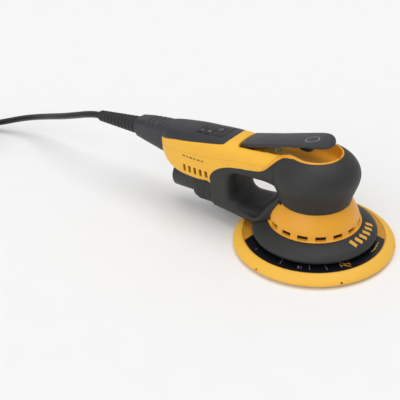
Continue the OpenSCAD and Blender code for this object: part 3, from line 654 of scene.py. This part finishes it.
bm = bmesh.new()
flat_ring(bm, -3.6, -1.2, 6.4, 5.5)
lever_ring = print_on("lever_ring_print", raised(bm, 120), paddle, "paddle")
grey_marks = [lever_ring]
for body, draw in (("minus_key", ((0, 0, 3.2, 0.8),)), ("plus_key", ((0, 0, 3.2, 0.8),
                                                                      (0, 0, 0.8, 3.2)))):
    bm = bmesh.new()
    x0, x1, y0, y1 = keys[body]
    for dx, dy, long, wide in draw:
        flat_bar(bm, (x0 + x1) / 2 + dx, (y0 + y1) / 2 + dy, long, wide)
    grey_marks.append(print_on(body + "_print", raised(bm, 100), key_caps[body], body))
bm = bmesh.new()
flat_ring(bm, -102.4, 1.2, 2.2, 1.6, gap=70)
flat_bar(bm, -100.6, 1.2, 2.4, 0.6)
grey_marks.append(print_on("power_key_print", raised(bm, 100), key_caps["power_key"], "power_key"))

bm = bmesh.new()
for k in range(6):
    a = math.radians(-18 + 8.4 * k)
    flat_bar(bm, 49.2 * math.cos(a), 49.2 * math.sin(a), 6.6, 3.6, a + math.radians(24))
shroud_marks = print_on("shroud_print", raised(bm, 60), shroud_skin, "housing",
                        lift=0.08)
bm = bmesh.new()
for k, long in enumerate((3.4, 2.4, 4.4, 2.4, 3.4, 2.8)):
    flat_bar(bm, -131.5 + 4.6 * k, 66.5, long, 1.5)
bm.transform(Matrix.Translation((0, -60, 0)) @ Matrix.Rotation(math.pi / 2, 4, "X"))
side_marks = print_on("side_print", bm, lower, "housing", aim_axis="y")

bm = bmesh.new()
for angle, r, long, wide in ((-89.2, 57.5, 6.5, 0.5), (-73, 59, 3.4, 1.3), (-70.6, 59, 3.4, 0.5),
                             (-63.8, 58, 5.4, 0.6), (-49.8, 58, 6, 0.6), (-118, 60, 3.4, 0.4)):
    a = math.radians(angle)
    flat_bar(bm, r * math.cos(a), r * math.sin(a), long, wide, a + 0.12)
bmesh.ops.transform(bm, verts=bm.verts, matrix=orbit @ Matrix.Translation((0, 0, 11.03)))
label_marks = as_object("pad_label_print", bm)
modify(label_marks, "SOLIDIFY", thickness=0.05, offset=1)
settle(label_marks, "pad")
bm = bmesh.new()
for angle, r, long, wide, lean in ((-33, 60.2, 8.6, 0.7, 0.9), (-33, 56.4, 8.6, 0.7, 0.9),
                                   (-37, 58.3, 4.6, 0.7, 0.0), (-29, 58.3, 4.6, 0.7, 0.0),
                                   (-33, 58.3, 3.4, 0.7, 0.4), (1, 60, 6.6, 0.6, 1.4),
                                   (6, 60, 6.6, 0.6, 1.4), (11, 60, 6.6, 0.6, 1.4)):
    a = math.radians(angle)
    flat_bar(bm, r * math.cos(a), r * math.sin(a), long, wide, a + lean)
bmesh.ops.transform(bm, verts=bm.verts, matrix=orbit @ Matrix.Translation((0, 0, 11.04)))
gold_marks = as_object("pad_gold_print", bm)
modify(gold_marks, "SOLIDIFY", thickness=0.05, offset=1)
settle(gold_marks, "pad")

# %% [markdown]
# ## The strap round the coil
# A woven strap holds the coil. It follows the outline of the bundle with rounded corners, so it
# is a ribbon swept round that outline.

# %% Coil strap
outline = []
for cx, cy, a0 in ((13, 27, 0), (-13, 27, 90), (-13, 3, 180), (13, 3, 270)):
    outline += [(cx + 2.6 * math.cos(math.radians(a0 + 15 * k)),
                 cy + 2.6 * math.sin(math.radians(a0 + 15 * k))) for k in range(7)]
strap = bmesh.new()
loop = [strap.verts.new((45 + a, -6, b)) for a, b in outline]
rim = [strap.edges.new(pair) for pair in zip(loop, loop[1:] + loop[:1])]
grown = bmesh.ops.extrude_edge_only(strap, edges=rim)["geom"]
bmesh.ops.translate(strap, verts=[g for g in grown if isinstance(g, bmesh.types.BMVert)],
                    vec=(0, 12, 0))
bmesh.ops.recalc_face_normals(strap, faces=strap.faces)
strap.transform(Matrix.Translation(coil_at) @ Matrix.Rotation(math.radians(-70), 4, "Z"))
coil_strap = as_object("coil_tie_strap", strap)
modify(coil_strap, "SOLIDIFY", thickness=0.8, offset=1)
settle(coil_strap, "housing", "coil_tie")

# %% [markdown]
# ## Finishes
# One function adds a shader node with its settings and links, and one turns a colour picked from
# a paint chart, an sRGB hex value, into the linear colour that Blender works in.

# %% Helpers for materials
def linear(hex_colour):
    parts = [int(hex_colour[i:i + 2], 16) / 255 for i in (1, 3, 5)]
    return [p / 12.92 if p <= 0.04045 else ((p + 0.055) / 1.055) ** 2.4 for p in parts] + [1]


def add(tree, kind, settings=None, **links):
    """Adds a node. Settings are its properties, and links are its sockets' values or sources."""
    made = tree.nodes.new(kind)
    for key, value in (settings or {}).items():
        setattr(made, key, value)
    for key, value in links.items():
        socket = made.inputs[int(key[1:])] if key[0] == "i" and key[1:].isdigit() else \
            made.inputs[key.replace("_", " ")]
        if isinstance(value, bpy.types.NodeSocket):
            tree.links.new(value, socket)
        else:
            socket.default_value = value
    return made


def new_material(name):
    made = bpy.data.materials.new(name)
    made.use_nodes = True
    made.node_tree.nodes.clear()
    tree = made.node_tree
    place = add(tree, "ShaderNodeTexCoord").outputs["Object"]
    shader = add(tree, "ShaderNodeBsdfPrincipled")
    add(tree, "ShaderNodeOutputMaterial", Surface=shader.outputs[0])
    return made, tree, place, shader


def finish(thing, made):
    thing.data.materials.clear()
    thing.data.materials.append(made)


# %% [markdown]
# Moulded plastic and rubber look alike in their build: a colour with a slight cloud in it where
# the melt flowed, a roughness that varies a little where hands have rubbed, and a fine grain from
# the eroded surface of the mould. The grain size is given in millimetres.

# %% Moulded finishes
def moulded(name, colour, other, rough, grain_mm, grain_depth_mm, spread=0.06, cloud_mm=25,
            specular=0.5, ior=1.5):
    made, tree, place, shader = new_material(name)
    cloud = add(tree, "ShaderNodeTexNoise", Vector=place, Scale=1 / (cloud_mm * MM), Detail=4.0,
                Roughness=0.6)
    mix = add(tree, "ShaderNodeMix", {"data_type": "RGBA"}, i0=cloud.outputs["Fac"],
              i6=linear(colour), i7=linear(other))
    tree.links.new(mix.outputs[2], shader.inputs["Base Color"])
    rub = add(tree, "ShaderNodeTexNoise", Vector=place, Scale=1 / (9 * MM), Detail=3.0)
    worn = add(tree, "ShaderNodeMapRange", Value=rub.outputs["Fac"], i3=rough - spread,
               i4=rough + spread)
    tree.links.new(worn.outputs[0], shader.inputs["Roughness"])
    grain = add(tree, "ShaderNodeTexNoise", Vector=place, Scale=1 / (grain_mm * MM), Detail=2.0)
    bump = add(tree, "ShaderNodeBump", Height=grain.outputs["Fac"], Strength=1.0,
               Distance=grain_depth_mm * MM)
    tree.links.new(bump.outputs[0], shader.inputs["Normal"])
    shader.inputs["IOR"].default_value = ior
    shader.inputs["Specular IOR Level"].default_value = specular
    return made


# Glass-filled nylon, moulded: the yellow covers, satin with a fine spark-eroded grain.
yellow_nylon = moulded("yellow_nylon_moulded", "#F8BE38", "#F3B430", 0.42, 0.5, 0.012)
# The same nylon, made a deeper orange yellow as painted shade, for the neck ring under the head's
# overhang and the recessed paddle tray.
shaded_yellow_nylon = moulded("yellow_nylon_painted_shade_moulded", "#F3AC2C", "#EAA022", 0.4, 0.5, 0.01)
# Thermoplastic elastomer over the housing: dark, dull, with the skin-like grain of a soft grip.
soft_grip = moulded("soft_grip_elastomer", "#30302F", "#292929", 0.55, 0.7, 0.03, specular=0.4)
# Unfilled ABS for the panel and the paddle: dark and a little glossier than the grip.
dark_abs = moulded("dark_abs_moulded", "#2E2F33", "#28292C", 0.4, 0.6, 0.012)
# Moulded rubber of the strain relief, the plug and the seals.
dark_rubber = moulded("dark_rubber_moulded", "#232427", "#1D1E20", 0.5, 0.8, 0.02)
# Silicone keys and their frame: smooth, dark and slightly sticky to the eye.
key_silicone = moulded("dark_silicone_keys", "#1C1D20", "#18191B", 0.36, 0.8, 0.006)
# Polyurethane foam with a moulded skin: the rim of the pad, dull with small blisters.
pad_skin = moulded("pad_foam_moulded_skin", "#F4BE44", "#EFB43A", 0.55, 1.2, 0.03, cloud_mm=12)
# Nylon of the stiff plate in the pad.
plate_nylon = moulded("plate_nylon_moulded", "#D9962A", "#CF8C22", 0.5, 0.6, 0.01)
# PVC sheath of the cord: black, extruded, satin.
cord_sheath = moulded("cord_pvc_sheath", "#191A1C", "#141517", 0.38, 1.0, 0.012)
# Printed polyester film on the pad: black with a low gloss.
label_film = moulded("black_film_print", "#0E1016", "#12141A", 0.3, 1.5, 0.004)
# Inks for the marks.
grey_ink = moulded("grey_pad_print_ink", "#8C8D90", "#858689", 0.5, 0.4, 0.004)
gold_ink = moulded("gold_pad_print_ink", "#E3AA3C", "#DCA236", 0.5, 0.4, 0.004)
dark_ink = moulded("brown_pad_print_ink", "#7A5A24", "#70521F", 0.5, 0.4, 0.004)

# %% [markdown]
# Metals keep their default index of refraction and get full metallic. Ground and turned faces
# show fine lines round their axis, so a wave texture of rings drives the bump.

# %% Metals, cloth and the rest
def metal(name, colour, rough, line_mm, depth_mm=0.002, rings=True):
    made, tree, place, shader = new_material(name)
    shader.inputs["Metallic"].default_value = 1.0
    wave = add(tree, "ShaderNodeTexWave", {"wave_type": "RINGS" if rings else "BANDS",
                                           "rings_direction": "Z"}, Vector=place,
               Scale=0.314 / (line_mm * MM), Distortion=1.5, Detail=2.0)
    stain = add(tree, "ShaderNodeTexNoise", Vector=place, Scale=1 / (6 * MM), Detail=4.0)
    mix = add(tree, "ShaderNodeMix", {"data_type": "RGBA"}, i0=stain.outputs["Fac"],
              i6=linear(colour), i7=[0.8 * c for c in linear(colour)[:3]] + [1])
    tree.links.new(mix.outputs[2], shader.inputs["Base Color"])
    worn = add(tree, "ShaderNodeMapRange", Value=stain.outputs["Fac"], i3=rough - 0.05,
               i4=rough + 0.08)
    tree.links.new(worn.outputs[0], shader.inputs["Roughness"])
    bump = add(tree, "ShaderNodeBump", Height=wave.outputs["Fac"], Strength=0.5,
               Distance=depth_mm * MM)
    tree.links.new(bump.outputs[0], shader.inputs["Normal"])
    return made


def woven(name, colour, other, thread_mm, depth_mm):
    """Cloth and hook pile: two crossed bands of threads."""
    made, tree, place, shader = new_material(name)
    warp = add(tree, "ShaderNodeTexWave", {"bands_direction": "X"}, Vector=place,
               Scale=0.314 / (thread_mm * MM), Distortion=0.6, Detail=1.0)
    weft = add(tree, "ShaderNodeTexWave", {"bands_direction": "Y"}, Vector=place,
               Scale=0.314 / (thread_mm * MM), Distortion=0.6, Detail=1.0)
    both = add(tree, "ShaderNodeMath", {"operation": "MULTIPLY"}, i0=warp.outputs["Fac"],
               i1=weft.outputs["Fac"])
    mix = add(tree, "ShaderNodeMix", {"data_type": "RGBA"}, i0=both.outputs[0], i6=linear(colour),
              i7=linear(other))
    tree.links.new(mix.outputs[2], shader.inputs["Base Color"])
    bump = add(tree, "ShaderNodeBump", Height=both.outputs[0], Strength=0.8,
               Distance=depth_mm * MM)
    tree.links.new(bump.outputs[0], shader.inputs["Normal"])
    shader.inputs["Roughness"].default_value = 0.85
    shader.inputs["Sheen Weight"].default_value = 0.3
    return made


# Zinc-plated and ground steel of the screws, shafts and bearings.
ground_steel = metal("ground_steel", "#B9BCC0", 0.28, 0.4)
# Stacked sheets of electrical steel: fine lines along the stack.
sheet_steel = metal("stacked_sheet_steel", "#77797D", 0.4, 0.7, 0.01, rings=False)
# Die-cast aluminium of the motor housing: pale, dull.
cast_aluminium = metal("die_cast_aluminium", "#C9CBCE", 0.45, 0.9)
# Sintered bronze-tungsten weight.
sintered_weight = metal("sintered_weight", "#8E7B4E", 0.5, 0.8)
# Enamelled copper wire, wound: ridges one wire apart.
copper_wire = metal("enamelled_copper_wire", "#B4662A", 0.3, 0.8, 0.05, rings=False)
# Nickel plating on the plug's pins and on the magnets.
nickel = metal("nickel_plating", "#C9C6BE", 0.22, 0.5)
# Napped hooks under the pad, and the woven strap.
hook_pile = woven("napped_hook_pile", "#CFCBC0", "#A9A598", 0.9, 0.3)
strap_weave = woven("woven_nylon_strap", "#4A4B50", "#36373A", 0.6, 0.12)
# Solder mask over a circuit board.
solder_mask = moulded("green_solder_mask", "#2F6B43", "#28603B", 0.35, 1.4, 0.02)
# The lamp's lens: clear plastic, faintly green.
lens_clear, tree, place, shader = new_material("clear_lens_plastic")
dust = add(tree, "ShaderNodeTexNoise", Vector=place, Scale=1 / (2 * MM))
tint = add(tree, "ShaderNodeMix", {"data_type": "RGBA"}, i0=dust.outputs["Fac"],
           i6=linear("#A8D89A"), i7=linear("#8EC884"))
tree.links.new(tint.outputs[2], shader.inputs["Base Color"])
shader.inputs["Roughness"].default_value = 0.15
shader.inputs["Transmission Weight"].default_value = 0.3
shader.inputs["IOR"].default_value = 1.49

# %% Give every piece its finish
# The neck ring and the paddle tray take the darker copy of the yellow nylon: their deeper orange is
# painted shade.
for thing, made in ((upper, yellow_nylon), (lower, yellow_nylon), (tray, shaded_yellow_nylon),
                    (neck, shaded_yellow_nylon), (grip, soft_grip), (shroud_skin, soft_grip),
                    (collar_skin, soft_grip), (panel, dark_abs), (paddle, dark_abs),
                    (connector, dark_abs), (port_tube, dark_abs), (relief_skin, dark_rubber),
                    (plug_skin, dark_rubber), (pad_frame, key_silicone), (pad_foam, pad_skin),
                    (mains_cord, cord_sheath), (coil_strap, strap_weave), (label_marks, grey_ink),
                    (gold_marks, gold_ink), (shroud_marks, gold_ink), (side_marks, dark_ink)):
    finish(thing, made)
for cap in key_caps.values():
    finish(cap, key_silicone)
for mark in grey_marks:
    finish(mark, grey_ink)
node_finishes = {
    "pad_hook_layer": hook_pile, "pad_plate": plate_nylon, "pad_label": label_film,
    "pad_stud": ground_steel, "spindle": ground_steel, "spindle_bearing_inner": ground_steel,
    "motor_shaft": ground_steel, "counterweight": sintered_weight,
    "spindle_bearing_outer": ground_steel, "motor_bearing_inner": ground_steel,
    "rotor_core": sheet_steel, "rotor_magnets": nickel, "cooling_fan": dark_abs,
    "motor_bearing_outer": ground_steel, "stator_core": sheet_steel,
    "stator_windings": copper_wire, "motor_housing": cast_aluminium, "end_bell": cast_aluminium,
    "brake_seal": dark_rubber, "status_lens": lens_clear, "dust_channel": dark_abs,
    "control_board": solder_mask, "capacitors": dark_abs, "power_inlet": dark_abs,
    "housing_screws": ground_steel, "shroud_screws": ground_steel, "lever_pin": ground_steel,
    "lever_spring": ground_steel, "lever_magnet": nickel, "swivel_seal": dark_rubber,
    "plug_pins": nickel}
for name, made in node_finishes.items():
    finish(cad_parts[name], made)
print("finishes:", len(bpy.data.materials))

# %% [markdown]
# ## Floor and light
# A pale floor and two large soft lamps, as in a product studio. One hangs overhead and the
# other stands on the camera's side, so the shadow under the body stays soft.

# %% Stage
bm = bmesh.new()
bmesh.ops.create_grid(bm, x_segments=8, y_segments=8, size=4)
floor = as_object("floor", bm)
paper, tree, place, shader = new_material("matt_paper_floor")
fibre = add(tree, "ShaderNodeTexNoise", Vector=place, Scale=30.0, Detail=5.0)
tone = add(tree, "ShaderNodeMix", {"data_type": "RGBA"}, i0=fibre.outputs["Fac"],
           i6=linear("#F6F6F6"), i7=linear("#F3F3F3"))
tree.links.new(tone.outputs[2], shader.inputs["Base Color"])
shader.inputs["Roughness"].default_value = 0.9
shader.inputs["Specular IOR Level"].default_value = 0.1
finish(floor, paper)
floor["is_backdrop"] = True

world = bpy.data.worlds.new("studio")
world.use_nodes = True
world.node_tree.nodes["Background"].inputs[0].default_value = (1, 1, 1, 1)
world.node_tree.nodes["Background"].inputs[1].default_value = 0.5
bpy.context.scene.world = world
for name, towards, spread_deg, power in (("overhead_softbox", (0.1, 0.1, 1), 50, 1.25),
                                         ("front_softbox", (-0.1, -1, 0.6), 60, 0.85)):
    lamp_data = bpy.data.lights.new(name, "SUN")
    lamp_data.energy, lamp_data.angle = power, math.radians(spread_deg)
    lamp = bpy.data.objects.new(name, lamp_data)
    bpy.context.scene.collection.objects.link(lamp)
    lamp.rotation_mode = "QUATERNION"
    lamp.rotation_quaternion = Vector(towards).to_track_quat("Z", "Y")

# %% Sizes
low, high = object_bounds()
